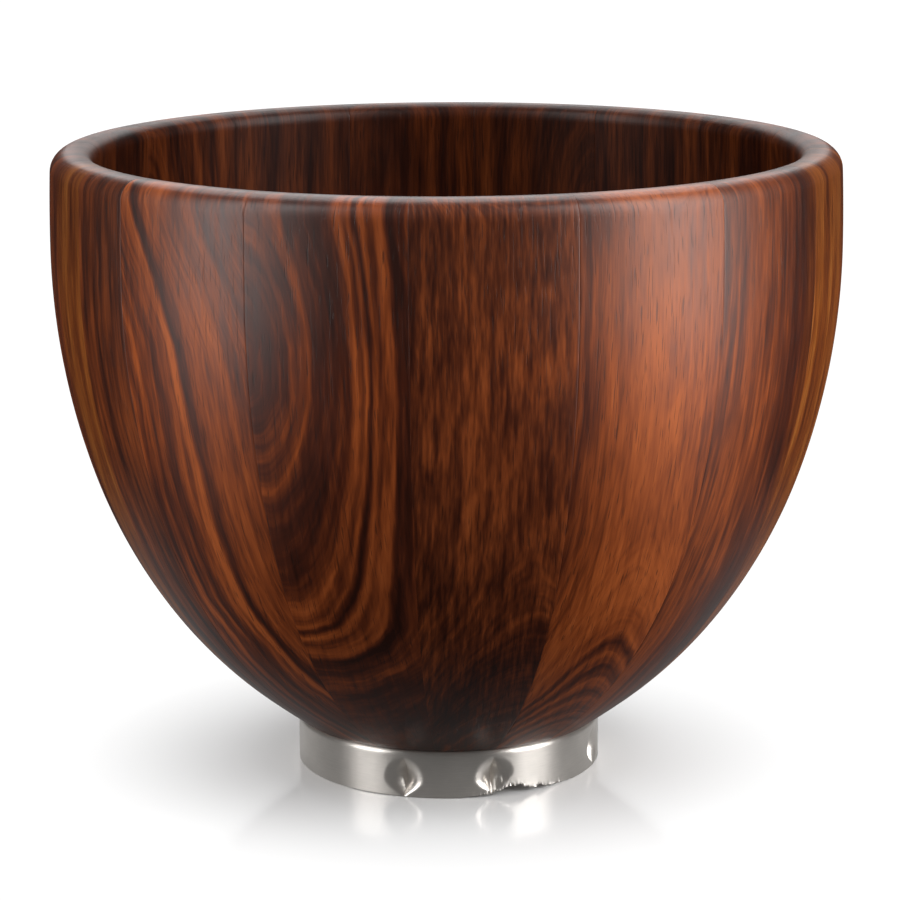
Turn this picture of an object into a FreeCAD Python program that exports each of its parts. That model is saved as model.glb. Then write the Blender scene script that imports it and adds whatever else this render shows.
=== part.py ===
"""Deep wooden mixing bowl on a pressed steel twist-lock foot.

The wall is coopered: a ring of equal tapered staves, glued edge to edge and turned on a lathe to
one smooth belly. A wooden floor disc closes the lower end. A foot ring, pressed from steel sheet,
is screwed to the floor disc, and lugs pressed into its wall lock it onto a clamping plate.

Millimetres, +Z up, origin on the bowl's axis in the plane that the foot rests on.
"""
import FreeCAD, Part

import math
import os

import Sketcher

PARTS_FOLDER = "parts"
START, END, CENTRE = 1, 2, 3    # the points of a sketch edge that a constraint can name
SKETCH_X_AXIS = -1

DRIVING_DIMENSIONS = {
    "stave_count": 16,
    "seam_angle": -95.0,          # from +X, of the joint on the first stave's clockwise side
    "bowl_height": 208.0,
    "widest_radius": 130.0,
    "widest_height": 177.0,
    "lip_sweep_radius": 593.0,    # outer arc above the widest circle, which leans in a little
    "upper_belly_radius": 230.0,  # outer arcs below it, each down to the height of its lower end
    "upper_belly_height": 102.7,
    "middle_belly_radius": 174.0,
    "middle_belly_height": 58.1,
    "lower_belly_radius": 154.0,
    "lower_belly_height": 25.4,
    "wall_thickness": 14.0,
    "rim_outer_round": 6.5,
    "rim_inner_round": 4.7,
    "floor_height": 30.0,
    "heel_radius": 60.0,          # inner arc from the wall down to the flat of the floor
    "floor_disc_radius": 44.0,
    "foot_radius": 50.8,
    "foot_height": 16.1,
    "foot_sheet": 1.2,
    "foot_bend_radius": 2.0,
    "flange_inner_radius": 33.0,
    "lug_count": 4,
    "lug_angle": -106.8,
    "stop_lug_angle": -73.2,
    "lug_depth": 4.5,             # of the V at its lower end, in the ring's outer face
    "lug_half_width": 5.8,
    "lug_bottom": 1.6,
    "lug_top": 12.9,
    "lug_top_depth": 0.6,
    "lug_top_half_width": 1.3,
    "lug_wall": 1.7,              # of the pressed V, measured towards the axis
    "screw_count": 6,
    "screw_angle": -90.0,
    "screw_circle_radius": 39.5,
    "screw_shank_radius": 1.9,
    "screw_length": 10.5,
    "screw_point": 1.9,
    "screw_head_radius": 3.6,
    "screw_head_height": 2.2,
    "screw_head_crown": 0.7,
    "driver_slot_length": 4.0,
    "driver_slot_width": 0.9,
    "driver_slot_depth": 1.3,
    "flange_hole_radius": 2.15,
    "pilot_hole_radius": 1.95,
    "pilot_hole_depth": 9.6,
}

document = FreeCAD.newDocument("mixing_bowl")


def make_sheet():
    """Keep the driving dimensions in a spreadsheet, one alias a row."""
    sheet = document.addObject("Spreadsheet::Sheet", "dimensions")
    for row, (name, value) in enumerate(DRIVING_DIMENSIONS.items(), start=1):
        sheet.set(f"A{row}", name)
        sheet.set(f"B{row}", str(value))
        sheet.setAlias(f"B{row}", name)
    document.recompute()
    return sheet


sheet = make_sheet()


def size(name):
    """The value of a driving dimension."""
    return float(sheet.get(name))


def in_sheet(formula):
    """Put the sheet's name before each alias in a formula of plus, minus, times and divide."""
    words = formula.split()
    return " ".join(f"dimensions.{word}" if word in DRIVING_DIMENSIONS else word for word in words)


def evaluate(formula):
    """The value of such a formula."""
    return float(sheet.evalExpression(in_sheet(formula)))


def origin_feature(body, role):
    return next(item for item in body.Origin.OriginFeatures if item.Role == role)


def add_body(name):
    body = document.addObject("PartDesign::Body", name)
    body.Label = name
    return body


def add_sketch(body, name, plane, height=None, angle=None):
    """A sketch on one of the body's own origin planes, lifted and turned about Z if asked."""
    sketch = body.newObject("Sketcher::SketchObject", name)
    sketch.AttachmentSupport = [(origin_feature(body, plane), "")]
    sketch.MapMode = "FlatFace"
    if height:
        sketch.setExpression("AttachmentOffset.Base.z", in_sheet(height))
    if angle:
        sketch.setExpression("AttachmentOffset.Rotation.Angle", in_sheet(angle))
    return sketch


def bind(sketch, kind, places, value, formula):
    """Add a dimension to a sketch and drive it from the sheet."""
    index = sketch.addConstraint(Sketcher.Constraint(kind, *places, value))
    sketch.setExpression(f"Constraints[{index}]", in_sheet(formula))


def join(sketch, kind, *places):
    sketch.addConstraint(Sketcher.Constraint(kind, *places))


def arc(centre, radius, start_angle, end_angle):
    circle = Part.Circle(FreeCAD.Vector(*centre, 0), FreeCAD.Vector(0, 0, 1), radius)
    return Part.ArcOfCircle(circle, start_angle, end_angle)


def line(start, end):
    return Part.LineSegment(FreeCAD.Vector(*start, 0), FreeCAD.Vector(*end, 0))


def polygon(sketch, corners):
    """A closed outline of straight edges through corners given as pairs of formulas."""
    values = [tuple(evaluate(formula) for formula in corner) for corner in corners]
    count = len(corners)
    for index, value in enumerate(values):
        sketch.addGeometry(line(value, values[(index + 1) % count]))
    for index in range(count):
        join(sketch, "Coincident", index, END, (index + 1) % count, START)
    for index, (corner, value) in enumerate(zip(corners, values)):
        bind(sketch, "DistanceX", (index, START), value[0], corner[0])
        bind(sketch, "DistanceY", (index, START), value[1], corner[1])


def revolve(body, sketch, name, angle=None):
    """Turn a sketch about the body's Z axis: all round, or by an angle shared by both sides."""
    feature = body.newObject("PartDesign::Revolution", name)
    feature.Profile = sketch
    feature.ReferenceAxis = (origin_feature(body, "Z_Axis"), [""])
    if angle:
        feature.Midplane = True
        feature.setExpression("Angle", in_sheet(angle))
    document.recompute()


def pocket_up(body, sketch, name, depth):
    """Cut a sketch out of the body, upwards from the sketch's plane."""
    volume_before = body.Shape.Volume
    feature = body.newObject("PartDesign::Pocket", name)
    feature.Profile = sketch
    feature.Reversed = True
    feature.setExpression("Length", in_sheet(depth))
    document.recompute()
    if body.Shape.Volume >= volume_before:
        raise RuntimeError(f"{name} cut nothing")
    return feature


def repeat_round(body, features, name, count):
    """Repeat features evenly about the body's Z axis."""
    pattern = body.newObject("PartDesign::PolarPattern", name)
    pattern.Originals = features
    pattern.Axis = (origin_feature(body, "Z_Axis"), [""])
    pattern.Angle = 360
    pattern.setExpression("Occurrences", in_sheet(count))
    body.Tip = pattern
    document.recompute()


# Wall ----------------------------------------------------------------------------------------


def point_on(centre, radius, angle):
    return centre[0] + radius * math.cos(angle), centre[1] + radius * math.sin(angle)


def inner_tangent_centre(centre, radius, small_radius, height):
    """Centre, at a height, of a circle that touches a larger one from inside."""
    reach = radius - small_radius
    return centre[0] + math.sqrt(reach ** 2 - (height - centre[1]) ** 2), height


def angle_from(centre, point):
    return math.atan2(point[1] - centre[1], point[0] - centre[0])


def wall_arcs():
    """The arcs of the wall's section as (centre, radius, start angle, end angle).

    They run up the outside from the foot to the rim, and down the inside to the floor disc.
    """
    wall = size("wall_thickness")
    widest = size("widest_radius"), size("widest_height")

    lip_centre = widest[0] - size("lip_sweep_radius"), widest[1]
    centres, radii, ends = [], [], []
    centre, radius, top_angle = (widest[0], widest[1]), 0.0, 0.0
    for belly in ("upper", "middle", "lower"):
        new_radius = size(f"{belly}_belly_radius")
        centre = point_on(centre, radius - new_radius, top_angle)
        radius = new_radius
        low_angle = math.asin((size(f"{belly}_belly_height") - centre[1]) / radius)
        centres.append(centre)
        radii.append(radius)
        ends.append((low_angle, top_angle))
        top_angle = low_angle

    # The last arc is tangent to the lower belly and ends on the foot's edge.
    last_point = point_on(centre, radius, top_angle)
    foot_point = size("foot_radius"), size("foot_height")
    inward = -math.cos(top_angle), -math.sin(top_angle)
    chord = foot_point[0] - last_point[0], foot_point[1] - last_point[1]
    last_radius = (chord[0] ** 2 + chord[1] ** 2) / (2 * (chord[0] * inward[0] + chord[1] * inward[1]))
    last_centre = last_point[0] + inward[0] * last_radius, last_point[1] + inward[1] * last_radius
    outside = [(last_centre, last_radius, angle_from(last_centre, foot_point), top_angle)]
    for index in (2, 1, 0):
        outside.append((centres[index], radii[index], *ends[index]))

    outer_round, inner_round = size("rim_outer_round"), size("rim_inner_round")
    sweep = size("lip_sweep_radius")
    outer_centre = inner_tangent_centre(lip_centre, sweep, outer_round, size("bowl_height") - outer_round)
    lip_angle = angle_from(lip_centre, outer_centre)
    inner_centre = inner_tangent_centre(lip_centre, sweep - wall, -inner_round,
                                        size("bowl_height") - inner_round)
    inner_lip_angle = angle_from(lip_centre, inner_centre)
    rim = [
        (lip_centre, sweep, 0.0, lip_angle),
        (outer_centre, outer_round, lip_angle, math.pi / 2),
        (inner_centre, inner_round, math.pi / 2, math.pi + inner_lip_angle),
        (lip_centre, sweep - wall, 0.0, inner_lip_angle),
    ]

    heel = size("heel_radius")
    heel_centre = inner_tangent_centre(centres[1], radii[1] - wall, heel, size("floor_height") + heel)
    heel_angle = angle_from(centres[1], heel_centre)
    joint_angle = -math.acos((size("floor_disc_radius") - heel_centre[0]) / heel)
    inside = [
        (centres[0], radii[0] - wall, *ends[0]),
        (centres[1], radii[1] - wall, heel_angle, ends[1][1]),
        (heel_centre, heel, joint_angle, heel_angle),
    ]
    return outside + rim + inside


def draw_wall_section(sketch):
    """The stave's section: the wall from the foot to the rim, closed by the floor disc's joint."""
    arcs = wall_arcs()
    foot, lower, middle, upper, lip, outer_round, inner_round, inner_lip, inner_upper, \
        inner_middle, heel = range(len(arcs))
    for item in arcs:
        sketch.addGeometry(arc(*item))

    def at(index, angle_number):
        centre, radius, *angles = arcs[index]
        return point_on(centre, radius, angles[angle_number])

    joint_foot = size("floor_disc_radius"), size("foot_height")
    base = sketch.addGeometry(line(joint_foot, at(foot, 0)))
    top = sketch.addGeometry(line(at(outer_round, 1), at(inner_round, 0)))
    joint = sketch.addGeometry(line(at(heel, 0), joint_foot))

    join(sketch, "Coincident", base, END, foot, START)
    join(sketch, "Coincident", joint, END, base, START)
    join(sketch, "Coincident", joint, START, heel, START)
    join(sketch, "Horizontal", base)
    join(sketch, "Horizontal", top)
    join(sketch, "Vertical", joint)
    for edge, next_edge in ((foot, lower), (lower, middle), (middle, upper), (upper, lip),
                            (lip, outer_round), (outer_round, top), (top, inner_round)):
        join(sketch, "Tangent", edge, END, next_edge, START)
    join(sketch, "Tangent", inner_round, END, inner_lip, END)
    for edge, next_edge in ((inner_lip, inner_upper), (inner_upper, inner_middle),
                            (inner_middle, heel)):
        join(sketch, "Tangent", edge, START, next_edge, END)
    for inner, outer in ((inner_lip, lip), (inner_upper, upper), (inner_middle, middle)):
        join(sketch, "Coincident", inner, CENTRE, outer, CENTRE)

    for edge, formula in (
            (lower, "lower_belly_radius"), (middle, "middle_belly_radius"),
            (upper, "upper_belly_radius"), (lip, "lip_sweep_radius"),
            (outer_round, "rim_outer_round"), (inner_round, "rim_inner_round"),
            (inner_upper, "upper_belly_radius - wall_thickness"), (heel, "heel_radius")):
        bind(sketch, "Radius", (edge,), arcs[edge][1], formula)
    bind(sketch, "DistanceX", (upper, END), size("widest_radius"), "widest_radius")
    bind(sketch, "DistanceY", (upper, END), size("widest_height"), "widest_height")
    bind(sketch, "DistanceY", (upper, CENTRE), size("widest_height"), "widest_height")
    for edge, belly in ((upper, "upper"), (middle, "middle"), (lower, "lower")):
        formula = f"{belly}_belly_height"
        bind(sketch, "DistanceY", (edge, START), size(formula), formula)
    bind(sketch, "DistanceX", (foot, START), size("foot_radius"), "foot_radius")
    bind(sketch, "DistanceY", (foot, START), size("foot_height"), "foot_height")
    bind(sketch, "DistanceY", (top, START), size("bowl_height"), "bowl_height")
    bind(sketch, "DistanceX", (base, START), size("floor_disc_radius"), "floor_disc_radius")
    bind(sketch, "DistanceY", (heel, CENTRE), arcs[heel][0][1], "floor_height + heel_radius")

    # Where the heel's centre comes out, so that the floor disc can carry on the same arc.
    reach = Sketcher.Constraint("DistanceX", heel, CENTRE, arcs[heel][0][0])
    index = sketch.addConstraint(reach)
    sketch.setDriving(index, False)
    sketch.renameConstraint(index, "heel_reach")
    return arcs[heel][0][0]


def make_stave(number):
    """One stave: the wall's section turned through its share of the circle."""
    body = add_body(f"stave_{number:02d}")
    sketch = add_sketch(body, f"stave_{number:02d}_section", "XZ_Plane")
    heel_reach = draw_wall_section(sketch)
    revolve(body, sketch, f"stave_{number:02d}_wall", "360 / stave_count")
    turn = f"seam_angle + 360 / stave_count * {number - 0.5}"
    body.setExpression("Placement.Rotation.Angle", in_sheet(turn))
    return body, sketch, heel_reach


# Floor disc ----------------------------------------------------------------------------------


def make_floor_disc(stave_sketch, heel_reach):
    """The disc inside the lower ends of the staves, dished to carry on their inner arc."""
    body = add_body("floor_disc")
    sketch = add_sketch(body, "floor_disc_section", "XZ_Plane")
    radius, heel = size("floor_disc_radius"), size("heel_radius")
    base, flat = size("foot_height"), size("floor_height")
    edge_angle = -math.acos((radius - heel_reach) / heel)
    edge = point_on((heel_reach, flat + heel), heel, edge_angle)
    under = sketch.addGeometry(line((0, base), (radius, base)))
    side = sketch.addGeometry(line((radius, base), edge))
    dish = sketch.addGeometry(arc((heel_reach, flat + heel), heel, -math.pi / 2, edge_angle))
    top = sketch.addGeometry(line((heel_reach, flat), (0, flat)))
    axis = sketch.addGeometry(line((0, flat), (0, base)))
    join(sketch, "Coincident", under, END, side, START)
    join(sketch, "Coincident", side, END, dish, END)
    join(sketch, "Tangent", dish, START, top, START)
    join(sketch, "Coincident", top, END, axis, START)
    join(sketch, "Coincident", axis, END, under, START)
    join(sketch, "Horizontal", under)
    join(sketch, "Vertical", side)
    join(sketch, "Horizontal", top)
    join(sketch, "Vertical", axis)
    bind(sketch, "Radius", (dish,), heel, "heel_radius")
    bind(sketch, "DistanceX", (side, START), radius, "floor_disc_radius")
    bind(sketch, "DistanceY", (side, START), base, "foot_height")
    bind(sketch, "DistanceY", (top, START), flat, "floor_height")
    bind(sketch, "DistanceX", (axis, START), 0, "0")
    index = sketch.addConstraint(Sketcher.Constraint("DistanceX", dish, CENTRE, heel_reach))
    sketch.setExpression(f"Constraints[{index}]", f"{stave_sketch.Name}.Constraints.heel_reach")
    revolve(body, sketch, "floor_disc_turning")

    drill_screw_holes(body, "pilot_hole", "pilot_hole_radius", "foot_height", "pilot_hole_depth")
    return body


def drill_screw_holes(body, name, radius, height, depth):
    """A ring of round holes on the screw circle, upwards from a height."""
    sketch = add_sketch(body, f"{name}_outline", "XY_Plane", height, "screw_angle")
    centre = FreeCAD.Vector(size("screw_circle_radius"), 0, 0)
    circle = sketch.addGeometry(Part.Circle(centre, FreeCAD.Vector(0, 0, 1), size(radius)))
    bind(sketch, "Radius", (circle,), size(radius), radius)
    bind(sketch, "DistanceX", (circle, CENTRE), centre.x, "screw_circle_radius")
    join(sketch, "PointOnObject", circle, CENTRE, SKETCH_X_AXIS)
    hole = pocket_up(body, sketch, name, depth)
    repeat_round(body, [hole], f"{name}s", "screw_count")


# Foot ring -----------------------------------------------------------------------------------


def draw_foot_section(sketch):
    """The ring's section: an upright wall, bent over at the top into a flange that faces inwards."""
    outer, height, thickness = size("foot_radius"), size("foot_height"), size("foot_sheet")
    bend, flange = size("foot_bend_radius"), size("flange_inner_radius")
    centre = outer - bend, height - bend
    inner, under_height = outer - thickness, height - thickness
    wall = sketch.addGeometry(line((outer, 0), (outer, centre[1])))
    outer_bend = sketch.addGeometry(arc(centre, bend, 0, math.pi / 2))
    top = sketch.addGeometry(line((centre[0], height), (flange, height)))
    lip = sketch.addGeometry(line((flange, height), (flange, under_height)))
    under = sketch.addGeometry(line((flange, under_height), (centre[0], under_height)))
    inner_bend = sketch.addGeometry(arc(centre, bend - thickness, 0, math.pi / 2))
    inner_wall = sketch.addGeometry(line((inner, centre[1]), (inner, 0)))
    rest = sketch.addGeometry(line((inner, 0), (outer, 0)))
    join(sketch, "Tangent", wall, END, outer_bend, START)
    join(sketch, "Tangent", outer_bend, END, top, START)
    join(sketch, "Coincident", top, END, lip, START)
    join(sketch, "Coincident", lip, END, under, START)
    join(sketch, "Tangent", under, END, inner_bend, END)
    join(sketch, "Tangent", inner_bend, START, inner_wall, START)
    join(sketch, "Coincident", inner_wall, END, rest, START)
    join(sketch, "Coincident", rest, END, wall, START)
    join(sketch, "Coincident", inner_bend, CENTRE, outer_bend, CENTRE)
    join(sketch, "Vertical", wall)
    join(sketch, "Vertical", lip)
    join(sketch, "Horizontal", rest)
    bind(sketch, "DistanceX", (wall, START), outer, "foot_radius")
    bind(sketch, "DistanceY", (wall, START), 0, "0")
    bind(sketch, "DistanceY", (top, START), height, "foot_height")
    bind(sketch, "DistanceX", (top, END), flange, "flange_inner_radius")
    bind(sketch, "Radius", (outer_bend,), bend, "foot_bend_radius")
    bind(sketch, "Radius", (inner_bend,), bend - thickness, "foot_bend_radius - foot_sheet")
    join(sketch, "Horizontal", top)


def lug_section(body, name, angle, height, depth, half_width, inset, mouth):
    """A level V across the ring's wall, its point inset towards the axis from the pressed depth."""
    sketch = add_sketch(body, name, "XY_Plane", height, angle)
    point = f"foot_radius - {depth} - {inset}"
    reach = f"( {mouth} - ( {point} ) ) * {half_width} / {depth}"
    polygon(sketch, [(mouth, reach), (point, "0"), (mouth, f"0 - {reach}")])
    return sketch


def loft(body, name, kind, lower, upper):
    feature = body.newObject(f"PartDesign::{kind}Loft", name)
    feature.Profile = lower
    feature.Sections = [upper]
    feature.Ruled = True
    document.recompute()
    return feature


def press_lug(body, name, angle):
    """A lug: metal pushed in behind the wall, then the hollow that it leaves outside."""
    inner_face = "foot_radius - foot_sheet / 2"
    outside = "foot_radius + foot_sheet"
    pushed_in = loft(
        body, f"{name}_metal", "Additive",
        lug_section(body, f"{name}_metal_foot", angle, "lug_bottom - foot_sheet",
                    "lug_depth", "lug_half_width", "lug_wall", inner_face),
        lug_section(body, f"{name}_metal_head", angle, "lug_top + foot_sheet / 2",
                    "lug_top_depth", "lug_top_half_width", "lug_wall", inner_face))
    volume_before = body.Shape.Volume
    hollow = loft(
        body, f"{name}_hollow", "Subtractive",
        lug_section(body, f"{name}_hollow_foot", angle, "lug_bottom",
                    "lug_depth", "lug_half_width", "0", outside),
        lug_section(body, f"{name}_hollow_head", angle, "lug_top",
                    "lug_top_depth", "lug_top_half_width", "0", outside))
    if body.Shape.Volume >= volume_before:
        raise RuntimeError(f"{name} cut nothing")
    return [pushed_in, hollow]


def make_foot_ring():
    body = add_body("foot_ring")
    sketch = add_sketch(body, "foot_section", "XZ_Plane")
    draw_foot_section(sketch)
    revolve(body, sketch, "foot_turning")
    lugs = press_lug(body, "lug", "lug_angle")
    repeat_round(body, lugs, "lugs", "lug_count")
    press_lug(body, "stop_lug", "stop_lug_angle")
    drill_screw_holes(body, "flange_hole", "flange_hole_radius", "foot_height - foot_sheet",
                      "foot_sheet")
    return body


# Screws --------------------------------------------------------------------------------------


def make_screw(number):
    """A wood screw, head down under the flange, with a cross recess for the driver."""
    body = add_body(f"foot_screw_{number + 1}")
    section = add_sketch(body, f"screw_section_{number + 1}", "XZ_Plane")
    polygon(section, [
        ("0", "0 - screw_head_height"),
        ("screw_head_radius - screw_head_crown", "0 - screw_head_height"),
        ("screw_head_radius", "screw_head_crown - screw_head_height"),
        ("screw_head_radius", "0"),
        ("screw_shank_radius", "0"),
        ("screw_shank_radius", "screw_length - screw_point"),
        ("0", "screw_length"),
    ])
    revolve(body, section, f"screw_turning_{number + 1}")
    slot = add_sketch(body, f"driver_slot_outline_{number + 1}", "XY_Plane", "0 - screw_head_height")
    end, side = "driver_slot_length / 2", "driver_slot_width / 2"
    polygon(slot, [("0", f"0 - {side}"), (end, f"0 - {side}"), (end, side), ("0", side)])
    arm = pocket_up(body, slot, f"driver_slot_{number + 1}", "driver_slot_depth")
    repeat_round(body, [arm], f"driver_slots_{number + 1}", "4")
    angle = f"( dimensions.screw_angle + 360 / dimensions.screw_count * {number} ) * 1 deg"
    body.setExpression("Placement.Base.x", f"dimensions.screw_circle_radius * cos({angle})")
    body.setExpression("Placement.Base.y", f"dimensions.screw_circle_radius * sin({angle})")
    body.setExpression("Placement.Base.z", in_sheet("foot_height - foot_sheet"))
    return body


def make_foot_screws():
    """The screws, all alike, as one sub-part."""
    group = document.addObject("Part::Compound", "foot_screws")
    group.Label = "foot_screws"
    group.Links = [make_screw(number) for number in range(int(size("screw_count")))]
    document.recompute()
    return group


# Whole bowl ----------------------------------------------------------------------------------


def check_document():
    for item in document.Objects:
        if "Invalid" in item.State or "Error" in item.State:
            raise RuntimeError(f"{item.Label}: {item.State}")


def write_parts(sub_parts):
    os.makedirs(PARTS_FOLDER, exist_ok=True)
    for sub_part in sub_parts:
        shape = sub_part.Shape
        if shape.isNull() or not shape.isValid():
            raise RuntimeError(f"{sub_part.Label} has no valid shape")
        shape.exportStep(os.path.join(PARTS_FOLDER, f"{sub_part.Label}.step"))
        print(f"{sub_part.Label}: {len(shape.Solids)} solid, {shape.Volume:.1f} mm3")


staves = [make_stave(number) for number in range(1, int(size("stave_count")) + 1)]
sub_parts = [body for body, _, _ in staves]
_, first_section, heel_reach = staves[0]
sub_parts.append(make_floor_disc(first_section, heel_reach))
sub_parts.append(make_foot_ring())
sub_parts.append(make_foot_screws())
document.recompute()
check_document()
write_parts(sub_parts)
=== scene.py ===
"""Looks of the stave-built wooden mixing bowl on its pressed steel twist-lock foot.

Metres and radians, +Z up, the bowl's axis on Z. The front of the bowl faces -Y.
The staves, the floor disc and the foot are rebuilt as smooth meshes in the places of the CAD
solids. Each piece of wood is cut from its own board, a solid field of growth layers, so its grain
runs on unbroken from the outside over the rim and down the inside.
"""
import math
from dataclasses import dataclass

import bmesh
import bpy
import numpy as np
from mathutils import Matrix, Vector


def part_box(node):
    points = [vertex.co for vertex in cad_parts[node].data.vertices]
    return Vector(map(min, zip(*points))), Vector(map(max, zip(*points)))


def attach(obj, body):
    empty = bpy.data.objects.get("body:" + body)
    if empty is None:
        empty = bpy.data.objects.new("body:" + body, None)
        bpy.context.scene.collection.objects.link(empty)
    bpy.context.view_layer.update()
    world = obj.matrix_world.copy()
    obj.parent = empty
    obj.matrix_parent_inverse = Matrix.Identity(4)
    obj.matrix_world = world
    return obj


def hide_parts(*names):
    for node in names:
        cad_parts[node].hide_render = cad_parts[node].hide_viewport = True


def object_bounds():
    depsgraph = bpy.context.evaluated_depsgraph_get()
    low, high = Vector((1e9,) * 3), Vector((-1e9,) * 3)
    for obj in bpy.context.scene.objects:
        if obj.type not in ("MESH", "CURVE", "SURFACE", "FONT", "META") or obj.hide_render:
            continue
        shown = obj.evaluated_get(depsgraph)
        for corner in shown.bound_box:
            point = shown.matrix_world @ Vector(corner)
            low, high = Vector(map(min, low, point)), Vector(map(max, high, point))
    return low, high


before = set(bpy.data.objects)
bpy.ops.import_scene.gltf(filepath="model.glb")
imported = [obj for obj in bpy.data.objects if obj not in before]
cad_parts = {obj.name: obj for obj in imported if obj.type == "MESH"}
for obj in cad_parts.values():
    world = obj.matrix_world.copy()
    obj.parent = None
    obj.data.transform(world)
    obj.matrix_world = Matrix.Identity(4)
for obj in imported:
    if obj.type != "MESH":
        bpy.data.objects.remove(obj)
CAD_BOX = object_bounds()

MM = 0.001
ROOT = "root"

# Wall, repeated from the CAD model where the frame can't give it
STAVE_COUNT = 16
STAVE_ANGLE = math.tau / STAVE_COUNT
FIRST_SEAM = math.radians(-95)
WIDEST_RADIUS = CAD_BOX[1].x
WIDEST_HEIGHT = 177.0 * MM
LIP_SWEEP = 593.0 * MM
BELLY_ARCS = ((230.0 * MM, 102.7 * MM), (174.0 * MM, 58.1 * MM), (154.0 * MM, 25.4 * MM))
WALL = 14.0 * MM
RIM_OUTER_ROUND = 6.5 * MM
RIM_INNER_ROUND = 4.7 * MM
HEEL_RADIUS = 60.0 * MM
FLOOR_HEIGHT = 30.0 * MM
BOWL_HEIGHT = CAD_BOX[1].z

# Foot
FOOT_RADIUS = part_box("foot_ring")[1].x
FOOT_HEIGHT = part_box("foot_ring")[1].z
FOOT_SHEET = 1.2 * MM
FOOT_BEND = 2.0 * MM
FLANGE_INNER_RADIUS = 33.0 * MM
LUG_ANGLES = [math.radians(-106.8 + 90 * turn) for turn in range(4)] + [math.radians(-73.2)]
DISC_RADIUS = 44.0 * MM        # of the wooden floor disc, inside the staves


# Sections ------------------------------------------------------------------------------------


def point_on(centre, radius, angle):
    return centre[0] + radius * math.cos(angle), centre[1] + radius * math.sin(angle)


def inner_tangent_centre(centre, radius, small_radius, height):
    """Centre, at a height, of a circle that touches a larger one from inside."""
    reach = radius - small_radius
    return centre[0] + math.sqrt(reach ** 2 - (height - centre[1]) ** 2), height


def angle_from(centre, point):
    return math.atan2(point[1] - centre[1], point[0] - centre[0])


def arc_points(centre, radius, start, end, step):
    count = max(2, math.ceil(abs(end - start) * radius / step))
    return [point_on(centre, radius, start + (end - start) * i / count) for i in range(count + 1)]


def joined(*runs):
    """Runs of points end to end, with the point that two runs share kept once."""
    points = list(runs[0])
    for run in runs[1:]:
        points.extend(run[1:])
    return points


def wall_section():
    """The outer and the inner line of the wall's section, from the foot's plane up to mid rim,
    with the centre of the heel's arc and the point where the floor disc meets it.
    """
    fine, coarse = 0.25 * MM, 1.0 * MM
    centre, radius, top_angle = (WIDEST_RADIUS, WIDEST_HEIGHT), 0.0, 0.0
    belly = []
    for new_radius, low_height in BELLY_ARCS:
        centre = point_on(centre, radius - new_radius, top_angle)
        radius = new_radius
        low_angle = math.asin((low_height - centre[1]) / radius)
        belly.append((centre, radius, low_angle, top_angle))
        top_angle = low_angle
    last = point_on(centre, radius, top_angle)
    foot = FOOT_RADIUS, FOOT_HEIGHT
    inward = -math.cos(top_angle), -math.sin(top_angle)
    chord = foot[0] - last[0], foot[1] - last[1]
    along_inward = chord[0] * inward[0] + chord[1] * inward[1]
    last_radius = (chord[0] ** 2 + chord[1] ** 2) / (2 * along_inward)
    last_centre = last[0] + inward[0] * last_radius, last[1] + inward[1] * last_radius

    lip_centre = WIDEST_RADIUS - LIP_SWEEP, WIDEST_HEIGHT
    outer_round = inner_tangent_centre(lip_centre, LIP_SWEEP, RIM_OUTER_ROUND,
                                       BOWL_HEIGHT - RIM_OUTER_ROUND)
    inner_round = inner_tangent_centre(lip_centre, LIP_SWEEP - WALL, -RIM_INNER_ROUND,
                                       BOWL_HEIGHT - RIM_INNER_ROUND)
    outer_lip_angle = angle_from(lip_centre, outer_round)
    inner_lip_angle = angle_from(lip_centre, inner_round)
    mid_rim = (outer_round[0] + inner_round[0]) / 2, BOWL_HEIGHT

    outer = joined(
        arc_points(last_centre, last_radius, angle_from(last_centre, foot), top_angle, coarse),
        *[arc_points(*arc, coarse) for arc in reversed(belly)],
        arc_points(lip_centre, LIP_SWEEP, 0.0, outer_lip_angle, coarse),
        arc_points(outer_round, RIM_OUTER_ROUND, outer_lip_angle, math.pi / 2, fine),
        [(outer_round[0], BOWL_HEIGHT), mid_rim])

    middle_centre, middle_radius = belly[1][:2]
    heel_centre = inner_tangent_centre(middle_centre, middle_radius - WALL, HEEL_RADIUS,
                                       FLOOR_HEIGHT + HEEL_RADIUS)
    heel_angle = angle_from(middle_centre, heel_centre)
    joint_angle = -math.acos((DISC_RADIUS - heel_centre[0]) / HEEL_RADIUS)
    joint_top = point_on(heel_centre, HEEL_RADIUS, joint_angle)
    inner = joined(
        [(DISC_RADIUS, FOOT_HEIGHT), joint_top],
        arc_points(heel_centre, HEEL_RADIUS, joint_angle, heel_angle, coarse),
        arc_points(middle_centre, middle_radius - WALL, heel_angle, belly[1][3], coarse),
        arc_points(belly[0][0], belly[0][1] - WALL, belly[0][2], belly[0][3], coarse),
        arc_points(lip_centre, LIP_SWEEP - WALL, 0.0, inner_lip_angle, coarse),
        arc_points(inner_round, RIM_INNER_ROUND, math.pi + inner_lip_angle, math.pi / 2, fine),
        [(inner_round[0], BOWL_HEIGHT), mid_rim])
    return outer, inner, heel_centre, joint_top


OUTER_LINE, INNER_LINE, HEEL_CENTRE, JOINT_TOP = wall_section()


def rows_of(line, body_rows, rim_length, rim_rows):
    """A line resampled evenly below the rim's round, and more closely over it."""
    array = np.array(line)
    reach = np.concatenate([[0], np.cumsum(np.hypot(*np.diff(array, axis=0).T))])
    split = reach[-1] - rim_length
    places = np.concatenate([np.linspace(0, split, body_rows),
                             np.linspace(split, reach[-1], rim_rows)[1:]])
    return np.stack([np.interp(places, reach, array[:, axis]) for axis in (0, 1)], axis=1)


# Meshes --------------------------------------------------------------------------------------


SHARP_ANGLE = math.radians(40)     # edges that turn more than this aren't shaded smooth


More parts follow.
